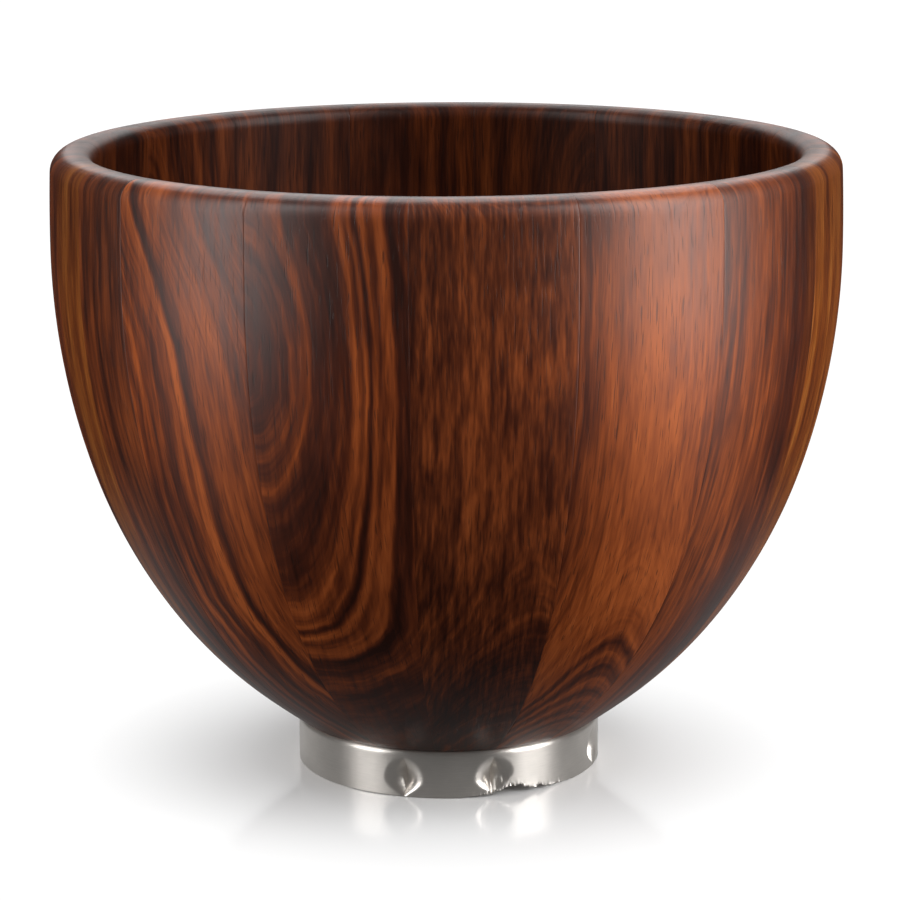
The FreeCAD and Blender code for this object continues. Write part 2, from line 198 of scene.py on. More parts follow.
def shade_smooth(mesh, sharp_angle):
    mesh.polygons.foreach_set("use_smooth", [True] * len(mesh.polygons))
    mesh.set_sharp_from_angle(angle=sharp_angle)


def new_piece(name, vertices, faces, sharp_angle=SHARP_ANGLE):
    mesh = bpy.data.meshes.new(name)
    mesh.from_pydata([tuple(v) for v in vertices], [], faces)
    mesh.update()
    piece = bpy.data.objects.new(name, mesh)
    bpy.context.scene.collection.objects.link(piece)
    shape = bmesh.new()
    shape.from_mesh(mesh)
    bmesh.ops.recalc_face_normals(shape, faces=shape.faces)
    shape.to_mesh(mesh)
    shape.free()
    shade_smooth(mesh, sharp_angle)
    return piece


def stand_in(piece, node):
    """The piece takes the place of a CAD node and rides on the bowl."""
    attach(piece, ROOT)
    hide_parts(node)


STAVE_COLUMNS = 14
STAVE_ROWS = 84
RIM_ROWS = 16
RIM_RUN = 16.0 * MM           # length of the line, up to mid rim, that has the closer rows
ARRIS = 0.05 * MM             # how far the edges beside a glued joint are eased
# Distance from the joint, with the share of the arris there
ARRIS_STEPS = ((0.0, 1.0), (0.12 * MM, 0.3), (0.32 * MM, 0.0), (0.8 * MM, 0.0))


def stave_columns():
    """Angles across a stave from its middle, with the share of the arris at each."""
    half = STAVE_ANGLE / 2
    edge = [(half - reach / WIDEST_RADIUS, share) for reach, share in ARRIS_STEPS]
    last_plain = edge[-1][0]
    plain = [(last_plain * (2 * i / STAVE_COLUMNS - 1), 0.0) for i in range(1, STAVE_COLUMNS)]
    return [(-angle, share) for angle, share in edge] + plain + edge[::-1]


def line_normals(line):
    """Unit normals of a section line, on its left as it runs."""
    run = np.gradient(line, axis=0)
    run /= np.linalg.norm(run, axis=1)[:, None]
    return np.stack([-run[:, 1], run[:, 0]], axis=1)


def make_stave(number):
    """A stave: outer and inner skins that meet on the rim, and the flat faces that are glued."""
    outer = rows_of(OUTER_LINE, STAVE_ROWS, RIM_RUN, RIM_ROWS)
    inner = rows_of(INNER_LINE, STAVE_ROWS, RIM_RUN, RIM_ROWS)
    into_outer, into_inner = line_normals(outer), -line_normals(inner)
    middle = FIRST_SEAM + STAVE_ANGLE * (number - 0.5)
    columns = stave_columns()
    rows = len(outer)
    vertices = []
    for line, into in ((outer, into_outer), (inner, into_inner)):
        for (radius, height), (in_radius, in_height) in zip(line, into):
            for angle, share in columns:
                r = radius + in_radius * share * ARRIS
                z = height + in_height * share * ARRIS
                vertices.append((r * math.cos(middle + angle), r * math.sin(middle + angle), z))
    width = len(columns)
    skin = rows * width
    faces = []
    for row in range(rows - 1):
        for column in range(width - 1):
            a = row * width + column
            quad = (a, a + 1, a + 1 + width, a + width)
            faces.append(quad)
            faces.append(tuple(skin + v for v in reversed(quad)))
        for edge in (0, width - 1):
            a, b = row * width + edge, (row + 1) * width + edge
            faces.append((a, b, skin + b, skin + a))
    for column in range(width - 1):
        faces.append((column, skin + column, skin + column + 1, column + 1))
    piece = new_piece(f"stave_{number:02d}_turned", vertices, faces)
    weld(piece)
    return piece


WELD_REACH = 0.001 * MM


def weld(piece):
    """Join the two skins where they meet."""
    mesh = piece.data
    shape = bmesh.new()
    shape.from_mesh(mesh)
    bmesh.ops.remove_doubles(shape, verts=shape.verts, dist=WELD_REACH)
    bmesh.ops.recalc_face_normals(shape, faces=shape.faces)
    shape.to_mesh(mesh)
    shape.free()
    shade_smooth(mesh, SHARP_ANGLE)


def lathe(name, section, columns):
    """A solid turned from an open section that starts and ends on the axis."""
    vertices = [(0, 0, section[0][1])]
    rings = section[1:-1]
    for radius, height in rings:
        for column in range(columns):
            angle = math.tau * column / columns
            vertices.append((radius * math.cos(angle), radius * math.sin(angle), height))
    vertices.append((0, 0, section[-1][1]))
    end = len(vertices) - 1
    faces = []
    for column in range(columns):
        after = (column + 1) % columns
        faces.append((0, 1 + after, 1 + column))
        for ring in range(len(rings) - 1):
            low, high = 1 + ring * columns, 1 + (ring + 1) * columns
            faces.append((low + column, low + after, high + after, high + column))
        last = 1 + (len(rings) - 1) * columns
        faces.append((last + column, last + after, end))
    return new_piece(name, vertices, faces)


DISC_COLUMNS = 128
DISC_UNDER_ROWS, DISC_EDGE_ROWS, DISC_FLAT_ROWS = 10, 8, 8
DISH_STEP = 1.2 * MM


def make_floor_disc():
    """The turned disc that closes the bowl, dished to carry on the staves' heel."""
    dish = arc_points(HEEL_CENTRE, HEEL_RADIUS, angle_from(HEEL_CENTRE, JOINT_TOP), -math.pi / 2,
                      DISH_STEP)
    edge = [(DISC_RADIUS, FOOT_HEIGHT + (JOINT_TOP[1] - FOOT_HEIGHT) * i / DISC_EDGE_ROWS)
            for i in range(DISC_EDGE_ROWS)]
    under = [(DISC_RADIUS * i / DISC_UNDER_ROWS, FOOT_HEIGHT) for i in range(DISC_UNDER_ROWS)]
    flat = [(HEEL_CENTRE[0] * (1 - i / DISC_FLAT_ROWS), FLOOR_HEIGHT)
            for i in range(1, DISC_FLAT_ROWS + 1)]
    return lathe("floor_disc_turned", under + edge + dish + flat, DISC_COLUMNS)


# Foot ring -----------------------------------------------------------------------------------

RING_COLUMNS = 900            # a column falls on the crease of every lug
RING_STEP = 360 / RING_COLUMNS
RING_WALL_ROWS, OUTER_BEND_ROWS, INNER_BEND_ROWS, FLANGE_ROWS = 26, 8, 5, 6
EDGE_ROUND = 0.3 * MM
RING_SHARP_ANGLE = math.radians(30)

LUG_DEPTH = 4.3 * MM
LUG_HALF_WIDTH = 7.2 * MM
LUG_FOOT, LUG_DEEPEST, LUG_TOP = 0.3 * MM, 6.0 * MM, 13.2 * MM   # heights along the crease
LUG_FLANK = 1.75              # how softly the flanks run out: 1 would be a plain V
LUG_FALL = 1.6                # how roundly the crease rises to its top

TORN_FROM, TORN_TO = math.radians(-86), math.radians(-35)
TORN_MIDDLE, TORN_SPREAD = math.radians(-62), math.radians(11)
TORN_HEIGHT = 3.4 * MM
TORN_TAIL = 0.18              # share of the height that the whole stretch has, away from its middle
TORN_FADE = 0.05              # radians over which the stretch begins and ends
TORN_WAVES = ((60, 0.5), (150, 0.3), (380, 0.35))   # waves round the ring, with their weight
BURR = 0.45 * MM
BURR_REACH = 0.6 * MM
BURR_FULL_AT = 0.8 * MM       # worn height from which the burrs are whole


def smooth_step(value):
    value = np.clip(value, 0.0, 1.0)
    return value * value * (3 - 2 * value)


def lug_press(angle, height):
    """How far the press pushes the wall in at an angle and a height."""
    press = np.zeros(np.broadcast(angle, height).shape)
    rise = np.clip((height - LUG_FOOT) / (LUG_DEEPEST - LUG_FOOT), 0, 1)
    pointed = np.sin(math.pi / 2 * rise)
    fall = np.clip((height - LUG_DEEPEST) / (LUG_TOP - LUG_DEEPEST), 0, 1)
    half_width = LUG_HALF_WIDTH * pointed * np.sqrt(1 - fall ** 2) + 1e-9
    depth = LUG_DEPTH * pointed * (1 - fall ** LUG_FALL)
    for lug in LUG_ANGLES:
        across = (angle - lug + math.pi) % math.tau - math.pi
        share = np.clip(1 - np.abs(across) * FOOT_RADIUS / half_width, 0, 1)
        press = np.maximum(press, depth * share ** LUG_FLANK)
    return press


def ring_section():
    """The ring's closed section as (radius, height), from the outside of the foot's edge."""
    inner = FOOT_RADIUS - FOOT_SHEET
    bend = FOOT_RADIUS - FOOT_BEND, FOOT_HEIGHT - FOOT_BEND
    under = FOOT_HEIGHT - FOOT_SHEET
    outside = [(FOOT_RADIUS, EDGE_ROUND + (bend[1] - EDGE_ROUND) * i / RING_WALL_ROWS)
               for i in range(RING_WALL_ROWS + 1)]
    outer_bend = [point_on(bend, FOOT_BEND, math.pi / 2 * i / OUTER_BEND_ROWS)
                  for i in range(1, OUTER_BEND_ROWS + 1)]
    flange_top = [(bend[0] + (FLANGE_INNER_RADIUS - bend[0]) * i / FLANGE_ROWS, FOOT_HEIGHT)
                  for i in range(1, FLANGE_ROWS + 1)]
    flange_under = [(FLANGE_INNER_RADIUS + (bend[0] - FLANGE_INNER_RADIUS) * i / FLANGE_ROWS, under)
                    for i in range(FLANGE_ROWS + 1)]
    inner_bend = [point_on(bend, FOOT_BEND - FOOT_SHEET, math.pi / 2 * (1 - i / INNER_BEND_ROWS))
                  for i in range(1, INNER_BEND_ROWS + 1)]
    inside = [(inner, bend[1] + (EDGE_ROUND - bend[1]) * i / RING_WALL_ROWS)
              for i in range(1, RING_WALL_ROWS + 1)]
    edge = [(inner + EDGE_ROUND, 0.0), (FOOT_RADIUS - EDGE_ROUND, 0.0)]
    return outside + outer_bend + flange_top + flange_under + inner_bend + inside + edge


def torn_edge(angles, seed=7):
    """How far the foot's lower edge is worn away along its rough, burred stretch."""
    rng = np.random.default_rng(seed)
    ragged = np.zeros(len(angles))
    for waves, weight in TORN_WAVES:
        knots = rng.uniform(0, 1, waves)
        turns = (angles % math.tau) / math.tau
        ragged += weight * np.interp(turns * waves, np.arange(waves), knots)
    share = np.exp(-((angles - TORN_MIDDLE) / TORN_SPREAD) ** 2)
    begin = smooth_step((angles - TORN_FROM) / TORN_FADE)
    end = smooth_step((TORN_TO - angles) / TORN_FADE)
    return TORN_HEIGHT * (share + TORN_TAIL * begin * end) * np.clip(ragged, 0, 1.2)


def burred(height, torn, seed=8):
    """Small outward and inward burrs that hang along the torn edge."""
    noise = np.random.default_rng(seed).uniform(-1, 1, height.shape)
    near = np.exp(-np.clip(height - torn, 0, None) / BURR_REACH)
    return BURR * noise * near * np.clip(torn / BURR_FULL_AT, 0, 1)


def make_foot_ring():
    """The pressed ring: its section swept round, with the lugs pushed in and the edge torn."""
    section = np.array(ring_section())
    angles = np.radians(-180 + RING_STEP * np.arange(RING_COLUMNS))
    radius = np.repeat(section[:, 0][None, :], RING_COLUMNS, axis=0)
    height = np.repeat(section[:, 1][None, :], RING_COLUMNS, axis=0)
    wall_top = FOOT_HEIGHT - FOOT_BEND
    on_wall = height < wall_top
    radius = radius - np.where(on_wall, lug_press(angles[:, None], height), 0)
    torn = torn_edge(angles)[:, None]
    height = np.where(on_wall, torn + height * (wall_top - torn) / wall_top, height)
    radius = radius + np.where(on_wall, burred(height, torn), 0)
    cosine, sine = np.cos(angles)[:, None], np.sin(angles)[:, None]
    vertices = np.stack([radius * cosine, radius * sine, height], axis=2).reshape(-1, 3)
    rows = len(section)
    faces = []
    for column in range(RING_COLUMNS):
        here, after = column * rows, (column + 1) % RING_COLUMNS * rows
        for row in range(rows):
            up = (row + 1) % rows
            faces.append((here + row, after + row, after + up, here + up))
    return new_piece("foot_ring_pressed", vertices, faces, RING_SHARP_ANGLE)


# Materials -----------------------------------------------------------------------------------


class Tree:
    """Short calls that build a material's nodes."""

    def __init__(self, name):
        self.material = bpy.data.materials.new(name)
        self.material.use_nodes = True
        self.nodes = self.material.node_tree.nodes
        self.links = self.material.node_tree.links
        self.shader = self.nodes["Principled BSDF"]

    def put(self, socket, value):
        if isinstance(value, bpy.types.NodeSocket):
            self.links.new(value, socket)
        elif value is not None:
            socket.default_value = value

    def add(self, kind, inputs=(), **settings):
        node = self.nodes.new(kind)
        for name, value in settings.items():
            setattr(node, name, value)
        for name, value in dict(inputs).items():
            self.put(node.inputs[name], value)
        return node

    def place(self):
        return self.add("ShaderNodeTexCoord").outputs["Object"]

    def math(self, operation, a, b=None, c=None):
        node = self.add("ShaderNodeMath", operation=operation)
        for socket, value in zip(node.inputs, (a, b, c)):
            self.put(socket, value)
        return node.outputs[0]

    def vector(self, operation, a, b=None):
        node = self.add("ShaderNodeVectorMath", operation=operation)
        self.put(node.inputs[0], a)
        self.put(node.inputs[1], b)
        return node.outputs["Value" if operation == "LENGTH" else "Vector"]

    def mapping(self, vector, location=(0, 0, 0), rotation=(0, 0, 0), scale=(1, 1, 1)):
        inputs = {"Vector": vector, "Location": location, "Rotation": rotation, "Scale": scale}
        return self.add("ShaderNodeMapping", inputs).outputs[0]

    def noise(self, vector, scale, detail=2.0, roughness=0.5, colour=False):
        inputs = {"Vector": vector, "Scale": scale, "Detail": detail, "Roughness": roughness}
        node = self.add("ShaderNodeTexNoise", inputs)
        return node.outputs["Color" if colour else "Fac"]

    def map(self, value, low, high, to_low=0.0, to_high=1.0, smooth=False):
        inputs = {"Value": value, "From Min": low, "From Max": high, "To Min": to_low,
                  "To Max": to_high}
        kind = "SMOOTHSTEP" if smooth else "LINEAR"
        return self.add("ShaderNodeMapRange", inputs, interpolation_type=kind).outputs[0]

    def ramp(self, value, stops):
        node = self.add("ShaderNodeValToRGB", {"Fac": value})
        elements = node.color_ramp.elements
        while len(elements) < len(stops):
            elements.new(0.5)
        for element, (position, colour) in zip(elements, stops):
            element.position = position
            element.color = (*colour, 1)
        return node.outputs["Color"]

    def mix(self, share, a, b, blend="MIX"):
        node = self.add("ShaderNodeMix", data_type="RGBA", blend_type=blend)
        self.put(node.inputs["Factor"], share)
        self.put(node.inputs[6], a)
        self.put(node.inputs[7], b)
        return node.outputs[2]

    def separate(self, vector):
        return self.add("ShaderNodeSeparateXYZ", {"Vector": vector}).outputs

    def combine(self, x, y, z=None):
        return self.add("ShaderNodeCombineXYZ", {"X": x, "Y": y, "Z": z}).outputs[0]

    def bump(self, height, distance, strength):
        inputs = {"Height": height, "Distance": distance, "Strength": strength}
        return self.add("ShaderNodeBump", inputs).outputs[0]

    def glow(self, strength):
        inputs = {"Color": (1, 1, 1, 1), "Strength": strength}
        return self.add("ShaderNodeEmission", inputs).outputs[0]

    def mix_shader(self, share, first, second):
        node = self.add("ShaderNodeMixShader", {"Fac": share})
        self.links.new(first, node.inputs[1])
        self.links.new(second, node.inputs[2])
        return node.outputs[0]

    def curve(self, value, points, x_range, y_range):
        """A free curve of straight runs through points, given in the units of its two ranges."""
        (x_low, x_high), (y_low, y_high) = x_range, y_range
        node = self.add("ShaderNodeFloatCurve", {"Value": self.map(value, x_low, x_high)})
        line = node.mapping.curves[0].points
        while len(line) < len(points):
            line.new(0.5, 0.5)
        for dot, (x, y) in zip(line, points):
            dot.location = (x - x_low) / (x_high - x_low), (y - y_low) / (y_high - y_low)
            dot.handle_type = "VECTOR"
        node.mapping.update()
        return self.map(node.outputs[0], 0.0, 1.0, y_low, y_high)

    def finish(self, **inputs):
        for name, value in inputs.items():
            self.put(self.shader.inputs[name.replace("_", " ")], value)
        return self.material


def shade(colour, factor):
    return tuple(channel * factor for channel in colour)


def scattered(seed, steps):
    """An offset that takes each board to its own part of a noise."""
    return tuple(seed * step for step in steps)


# Wood colours from dark to light, and the tones that they belong to
HEARTWOOD = ((0.018, 0.0027, 0.0005), (0.045, 0.0072, 0.0012), (0.098, 0.0182, 0.0028),
             (0.190, 0.0385, 0.0060), (0.31, 0.071, 0.013))
SAPWOOD = ((0.050, 0.0085, 0.0012), (0.103, 0.0200, 0.0022), (0.175, 0.0385, 0.0040),
           (0.265, 0.0690, 0.0080), (0.37, 0.120, 0.020))
STOPS = (0.22, 0.38, 0.52, 0.66, 0.84)
PORE_COLOUR = (0.010, 0.003, 0.0015, 1)
INSIDE_SHADE = 0.42           # painted shade: the inside's colour is darkened to stand in for the shade inside the bowl
RIM_SHADE = 0.68              # painted shade: the wood's colour darkens towards the rim, inside and out, standing in for the dimmer light there
RIM_SHADE_FROM, RIM_SHADE_TO = 0.145, 0.198          # heights
OUTSIDE_FROM, OUTSIDE_TO = -3.5 * MM, 2.0 * MM       # from mid wall: the inside's painted shade fades out
SAP_BLUR = 0.3 * MM

# Curves along the height: the radius of mid wall, and the ranges that curves are given in
MID_WALL = ((0.0, 0.030), (0.016, 0.046), (0.033, 0.055), (0.060, 0.082), (0.080, 0.0955),
            (0.1027, 0.1064), (0.130, 0.1155), (0.155, 0.121), (0.177, 0.123), (0.25, 0.1205))
HEIGHTS = 0.0, 0.25
RADII = 0.0, 0.15
SHIFTS = -0.1, 0.1
LEVELS = -0.5, 0.5

# Sizes of the noises, as features to a metre, and how much they push the tone
SLOW_WAVES, SMALL_WAVES = 20.0, 105.0
LINES, THREADS, FIBRES, CLOUDS, PORES = 330.0, 1150.0, 600.0, 42.0, 2100.0
LINE_PUSH, THREAD_PUSH, FIBRE_PUSH, CLOUD_PUSH = 0.62, 0.28, 0.42, 0.32
RIPPLE = 2.2 * MM             # how far the small waves bend the growth layers
ALONG_PROFILE = 0.12          # fibres and pores are drawn out along the wall's profile
PORE_STARTS, PORE_FULL, PORE_DARKNESS = 0.69, 0.77, 0.55
WOOD_ROUGHNESS = 0.37, 0.45
WOOD_RELIEF = 0.05 * MM


@dataclass
class Board:
    """The board that a stave is cut from. Lengths across it are in mm, others in metres.

    seed      the board's place in the noises
    centre    where the growth layers centre across the stave (mm)
    depth     how far below the surface they centre, against height: (height, depth) pairs
    bands     tone against the distance (mm) from the centre: the darker and lighter bands
    lean      how far they shift across the stave, against height
    squeeze   how much faster the layers follow each other across the stave
    light     brightness of the heartwood
    tone      shift of the whole board towards light or dark wood
    sap       (edge in mm, side): beyond this place across the stave it is golden sapwood
    wander    how far the slow waves bend the layers (mm)
    line, fibre, cloud: how strong are the fine layers, the fibres and the soft clouds
    depths    how much the figure changes through the wall's thickness
    curl      how short the fibres are: their noise's pace along the height
    """

    seed: int
    centre: float
    depth: tuple
    bands: tuple
    lean: tuple = ((0.0, 0.0), (0.25, 0.0))
    squeeze: float = 1.0
    light: float = 1.0
    tone: float = 0.0
    sap: tuple = None
    wander: float = 3.0
    line: float = 1.0
    fibre: float = 1.0
    cloud: float = 1.0
    depths: float = 1.0
    curl: float = 0.05


def wood(name, turn, board):
    """Oiled figured hardwood. turn brings the stave's own axes onto X out, Y across, Z up."""
    t = Tree(name)
    local = t.mapping(t.place(), rotation=(0, 0, -turn))
    shifted = t.vector("ADD", local, scattered(board.seed, (1.37, 0.71, 2.13)))
    out, across, up = t.separate(local)
    gap = t.math("SUBTRACT", out, t.curve(up, MID_WALL, HEIGHTS, RADII))

    # Growth layers, bent by slow waves a hand long and small ones a finger long
    slow = t.separate(t.noise(t.mapping(shifted, scale=(1, 1, 0.45)), SLOW_WAVES, 1.0, colour=True))
    small = t.separate(t.noise(t.mapping(shifted, scale=(1, 1, 0.30)), SMALL_WAVES, 2.0,
                               colour=True))
    lean = t.curve(up, board.lean, HEIGHTS, SHIFTS)
    side = t.math("SUBTRACT", t.math("SUBTRACT", across, board.centre * MM), lean)
    depth = t.math("MULTIPLY_ADD", gap, board.depths, t.curve(up, board.depth, HEIGHTS, SHIFTS))
    bent = []
    for place, wave, ripple in ((side, slow[0], small[0]), (depth, slow[1], small[1])):
        place = t.math("MULTIPLY_ADD", t.math("SUBTRACT", wave, 0.5), 2 * board.wander * MM, place)
        bent.append(t.math("MULTIPLY_ADD", t.math("SUBTRACT", ripple, 0.5), RIPPLE, place))
    squeezed = t.math("MULTIPLY", bent[0], board.squeeze)
    layer = t.vector("LENGTH", t.combine(squeezed, bent[1]))

    # Fine layers and fibres both run along the growth layers
    flow = t.vector("ADD", t.combine(layer, across, up), scattered(board.seed, (0.37, 0.19, 0.53)))
    line = t.noise(t.mapping(flow, scale=(1, 0.06, 0.06)), LINES, 2.5, 0.62)
    thread = t.noise(t.mapping(flow, scale=(1, 0.07, 0.07)), THREADS, 1.5, 0.6)
    fibre = t.noise(t.mapping(shifted, scale=(ALONG_PROFILE, 1, board.curl)), FIBRES, 2.5, 0.65)
    cloud = t.noise(t.mapping(shifted, scale=(1, 1, 0.5)), CLOUDS, 3.0, 0.6)
    span = board.bands[0][0] * MM, board.bands[-1][0] * MM
    bands = [(distance * MM, level) for distance, level in board.bands]
    tone = t.math("ADD", t.curve(layer, bands, span, LEVELS), 0.5 + board.tone)
    for part, push in ((line, LINE_PUSH * board.line), (thread, THREAD_PUSH * board.line),
                       (fibre, FIBRE_PUSH * board.fibre), (cloud, CLOUD_PUSH * board.cloud)):
        tone = t.math("MULTIPLY_ADD", t.math("SUBTRACT", part, 0.5), push, tone)
    colour = t.ramp(tone, list(zip(STOPS, [shade(c, board.light) for c in HEARTWOOD])))
    if board.sap:
        edge, side_sign = board.sap
        past = t.math("MULTIPLY", t.math("SUBTRACT", across, edge * MM), float(side_sign))
        sapwood = t.ramp(tone, list(zip(STOPS, SAPWOOD)))
        colour = t.mix(t.map(past, -SAP_BLUR, SAP_BLUR), colour, sapwood)

    # Open pores: short dark scratches along the grain
    pore_field = t.noise(t.mapping(shifted, scale=(ALONG_PROFILE, 1, 0.05)), PORES, 1.5, 0.5)
    pores = t.map(t.math("MULTIPLY_ADD", line, 0.15, pore_field), PORE_STARTS, PORE_FULL,
                  smooth=True)
    colour = t.mix(t.math("MULTIPLY", pores, PORE_DARKNESS), colour, PORE_COLOUR)

    # Painted shade: the wood's colour is darkened inside the bowl and towards the rim
    outside = t.map(gap, OUTSIDE_FROM, OUTSIDE_TO, smooth=True)
    # painted shade: darker towards the rim, by height alone
    painted_rim_shade = t.map(up, RIM_SHADE_FROM, RIM_SHADE_TO, 1.0, RIM_SHADE, smooth=True)
    # painted shade: the inside's darkening and the rim's darkening, multiplied together
    painted_shade = t.math("MULTIPLY", painted_rim_shade, t.map(outside, 0.0, 1.0, INSIDE_SHADE, 1.0))
    grey = t.add("ShaderNodeCombineColor", {"Red": painted_shade, "Green": painted_shade, "Blue": painted_shade}).outputs[0]
    colour = t.mix(1.0, colour, grey, "MULTIPLY")

    relief = t.math("MULTIPLY_ADD", fibre, 0.35, t.math("MULTIPLY", pores, -1.0))
    rough = t.map(t.math("MULTIPLY_ADD", cloud, 0.6, fibre), 0.5, 1.1, *WOOD_ROUGHNESS)
    return t.finish(Base_Color=colour, Roughness=rough,
                    Specular_IOR_Level=t.map(outside, 0.0, 1.0, 0.2, 0.5),
                    Normal=t.bump(relief, WOOD_RELIEF, 0.4))


STEEL_DARK, STEEL_LIGHT = (0.76, 0.715, 0.665), (0.93, 0.875, 0.815)
STEEL_ROUGHNESS = 0.33, 0.39
STEEL_SPREAD = 0.85           # anisotropy, turned a quarter so that the shine spreads upwards
BRUSH_FINENESS = 160          # brush lines are this much closer upwards than round the ring


def brushed_steel(name):
    """Stainless sheet, brushed round the ring, so its shine spreads upwards and downwards."""
    t = Tree(name)
    place = t.place()
    x, y, z = t.separate(place)
    along = t.combine(t.math("MULTIPLY", t.math("ARCTAN2", y, x), 0.6), z)
    brush = t.noise(t.mapping(along, scale=(1, BRUSH_FINENESS, 1)), 14.0, 3.0, 0.7)
    cloud = t.noise(place, 90.0, 3.0, 0.5)
    shades = t.math("ADD", t.math("MULTIPLY", brush, 0.4), t.math("MULTIPLY", cloud, 0.6))
    colour = t.ramp(shades, ((0.3, STEEL_DARK), (0.7, STEEL_LIGHT)))
    rough = t.map(brush, 0.3, 0.7, *STEEL_ROUGHNESS)
    tangent = t.add("ShaderNodeTangent", direction_type="RADIAL", axis="Z").outputs[0]
    return t.finish(Base_Color=colour, Metallic=0.80, Roughness=rough, Anisotropic=STEEL_SPREAD,
                    Anisotropic_Rotation=0.25, Tangent=tangent,
                    Normal=t.bump(brush, 0.01 * MM, 0.12))


# Stage ---------------------------------------------------------------------------------------

FLOOR_SIZE = 12.0              # from the middle to each side
FLOOR_WHITE = 0.86
FLOOR_BOUNCE = 0.08            # how much light the floor throws onto the bowl
BACKDROP = 1.1                 # brightness of the white that the camera sees
SHADE_FROM, SHADE_TO = 0.04, 0.158     # reach over which the floor's own shade turns to white

# The floor as the bowl's shine shows it: a base, more near the foot and more behind the bowl
SHINE_BASE, SHINE_NEAR, SHINE_BEHIND = 0.02, 0.10, 0.36
NEAR_FROM, NEAR_TO = 0.065, 0.115
BEHIND_FROM, BEHIND_TO = -0.06, 0.05
CLOSE_FROM, CLOSE_TO = 0.12, 0.34
AWAY_FROM, AWAY_TO = 0.08, 1.3         # and the softboxes' glow, which grows with the distance
GLOW_INSIDE, GLOW_OUTSIDE = 8, 10      # degrees over which it fades, either side of their edge

SOFTBOXES = ((-63, 13, 5.0, 1.7), (65, 15.5, 7.0, 1.7))   # azimuth, half width, radiance, height
SOFTBOX_DISTANCE = 1.5
SOFTBOX_ELEVATION = 31
WORLD_LIGHT = 0.05


def pale_floor(name):
    """White studio floor. The camera sees its shade near the bowl and plain white beyond, the
    bowl's shine sees a dimmer floor that glows under the softboxes, and it bounces little light.
    """
    t = Tree(name)
    t.finish(Base_Color=(FLOOR_WHITE, FLOOR_WHITE, FLOOR_WHITE, 1), Roughness=0.15,
             Specular_IOR_Level=0.5)
    reach = t.vector("LENGTH", t.place())
    seen = t.mix_shader(t.map(reach, SHADE_FROM, SHADE_TO, smooth=True), t.shader.outputs[0],
                        t.glow(BACKDROP))
    bounced = t.add("ShaderNodeBsdfDiffuse",
                    {"Color": (FLOOR_BOUNCE, FLOOR_BOUNCE, FLOOR_BOUNCE, 1)})
    x, y, _ = t.separate(t.place())
    behind = t.map(y, BEHIND_FROM, BEHIND_TO, smooth=True)
    close = t.map(reach, CLOSE_FROM, CLOSE_TO, 1.0, 0.0, smooth=True)
    near = t.map(reach, NEAR_FROM, NEAR_TO, 1.0, 0.0, smooth=True)
    glow = t.math("MULTIPLY_ADD", t.math("MULTIPLY", behind, close), SHINE_BEHIND, SHINE_BASE)
    glow = t.math("MULTIPLY_ADD", near, SHINE_NEAR, glow)
    azimuth = t.math("ARCTAN2", x, t.math("MULTIPLY", y, -1.0))
    away = t.map(reach, AWAY_FROM, AWAY_TO, smooth=True)
    for softbox_azimuth, half_width, radiance, _ in SOFTBOXES:
        off = t.math("ABSOLUTE", t.math("SUBTRACT", azimuth, math.radians(softbox_azimuth)))
        inner = math.radians(half_width - GLOW_INSIDE)
        outer = math.radians(half_width + GLOW_OUTSIDE)
        lit = t.map(off, inner, outer, radiance, 0.0, smooth=True)
        glow = t.math("MULTIPLY_ADD", lit, away, glow)
    paths = t.add("ShaderNodeLightPath").outputs
    unseen = t.mix_shader(paths["Is Glossy Ray"], bounced.outputs[0], t.glow(glow))
    whole = t.mix_shader(paths["Is Camera Ray"], unseen, seen)
    t.links.new(whole, t.nodes["Material Output"].inputs["Surface"])
    return t.material


def make_floor():
    size = FLOOR_SIZE
    corners = [(-size, -size, 0), (size, -size, 0), (size, size, 0), (-size, size, 0)]
    mesh = bpy.data.meshes.new("studio_floor")
    mesh.from_pydata(corners, [], [(0, 1, 2, 3)])
    floor = bpy.data.objects.new("studio_floor", mesh)
    bpy.context.scene.collection.objects.link(floor)
    mesh.materials.append(pale_floor("studio_floor"))


def make_softbox(name, azimuth, elevation, width, height, power, aim_height=0.1):
    """A rectangular softbox that faces the bowl. Azimuth 0 is the front, 90 the right."""
    distance = SOFTBOX_DISTANCE
    light = bpy.data.lights.new(name, "AREA")
    light.shape = "RECTANGLE"
    light.size, light.size_y = width, height
    light.energy = power
    box = bpy.data.objects.new(name, light)
    a, e = math.radians(azimuth), math.radians(elevation)
    box.location = (distance * math.sin(a) * math.cos(e), -distance * math.cos(a) * math.cos(e),
                    distance * math.sin(e) + aim_height)
    aim = Vector((0, 0, aim_height)) - box.location
    box.rotation_euler = aim.to_track_quat("-Z", "Y").to_euler()
    bpy.context.scene.collection.objects.link(box)


def make_world():
    """White to the camera alone: on everything else it throws only a little light."""
    world = bpy.data.worlds.new("studio")
    world.use_nodes = True
    nodes, links = world.node_tree.nodes, world.node_tree.links
    seen = nodes.new("ShaderNodeMapRange")
    seen.inputs["To Min"].default_value = WORLD_LIGHT
    seen.inputs["To Max"].default_value = BACKDROP
    links.new(nodes.new("ShaderNodeLightPath").outputs["Is Camera Ray"], seen.inputs["Value"])
    links.new(seen.outputs[0], nodes["Background"].inputs["Strength"])
    nodes["Background"].inputs["Color"].default_value = (1, 1, 1, 1)
    bpy.context.scene.world = world


def make_studio():
    make_floor()
    for number, (azimuth, half_width, radiance, height) in enumerate(SOFTBOXES):
        width = 2 * SOFTBOX_DISTANCE * math.tan(math.radians(half_width))
        make_softbox(f"softbox_{number}", azimuth, SOFTBOX_ELEVATION, width, height,
                     radiance * math.pi * width * height)
    make_softbox("back_light", 180, 58, 1.4, 0.7, 12)
    make_softbox("back_panel", 180, 27, 1.0, 0.6, 4.5)
    make_world()
    bpy.context.scene.view_settings.view_transform = "Standard"


CAMERA_PLACE = (0.0, -1.0908, 0.3463)
CAMERA_PITCH = 0.2173
CAMERA_ROLL = 0.0043
CAMERA_LENS, CAMERA_SENSOR = 133.5, 36.0
CAMERA_SHIFT = 0.0028


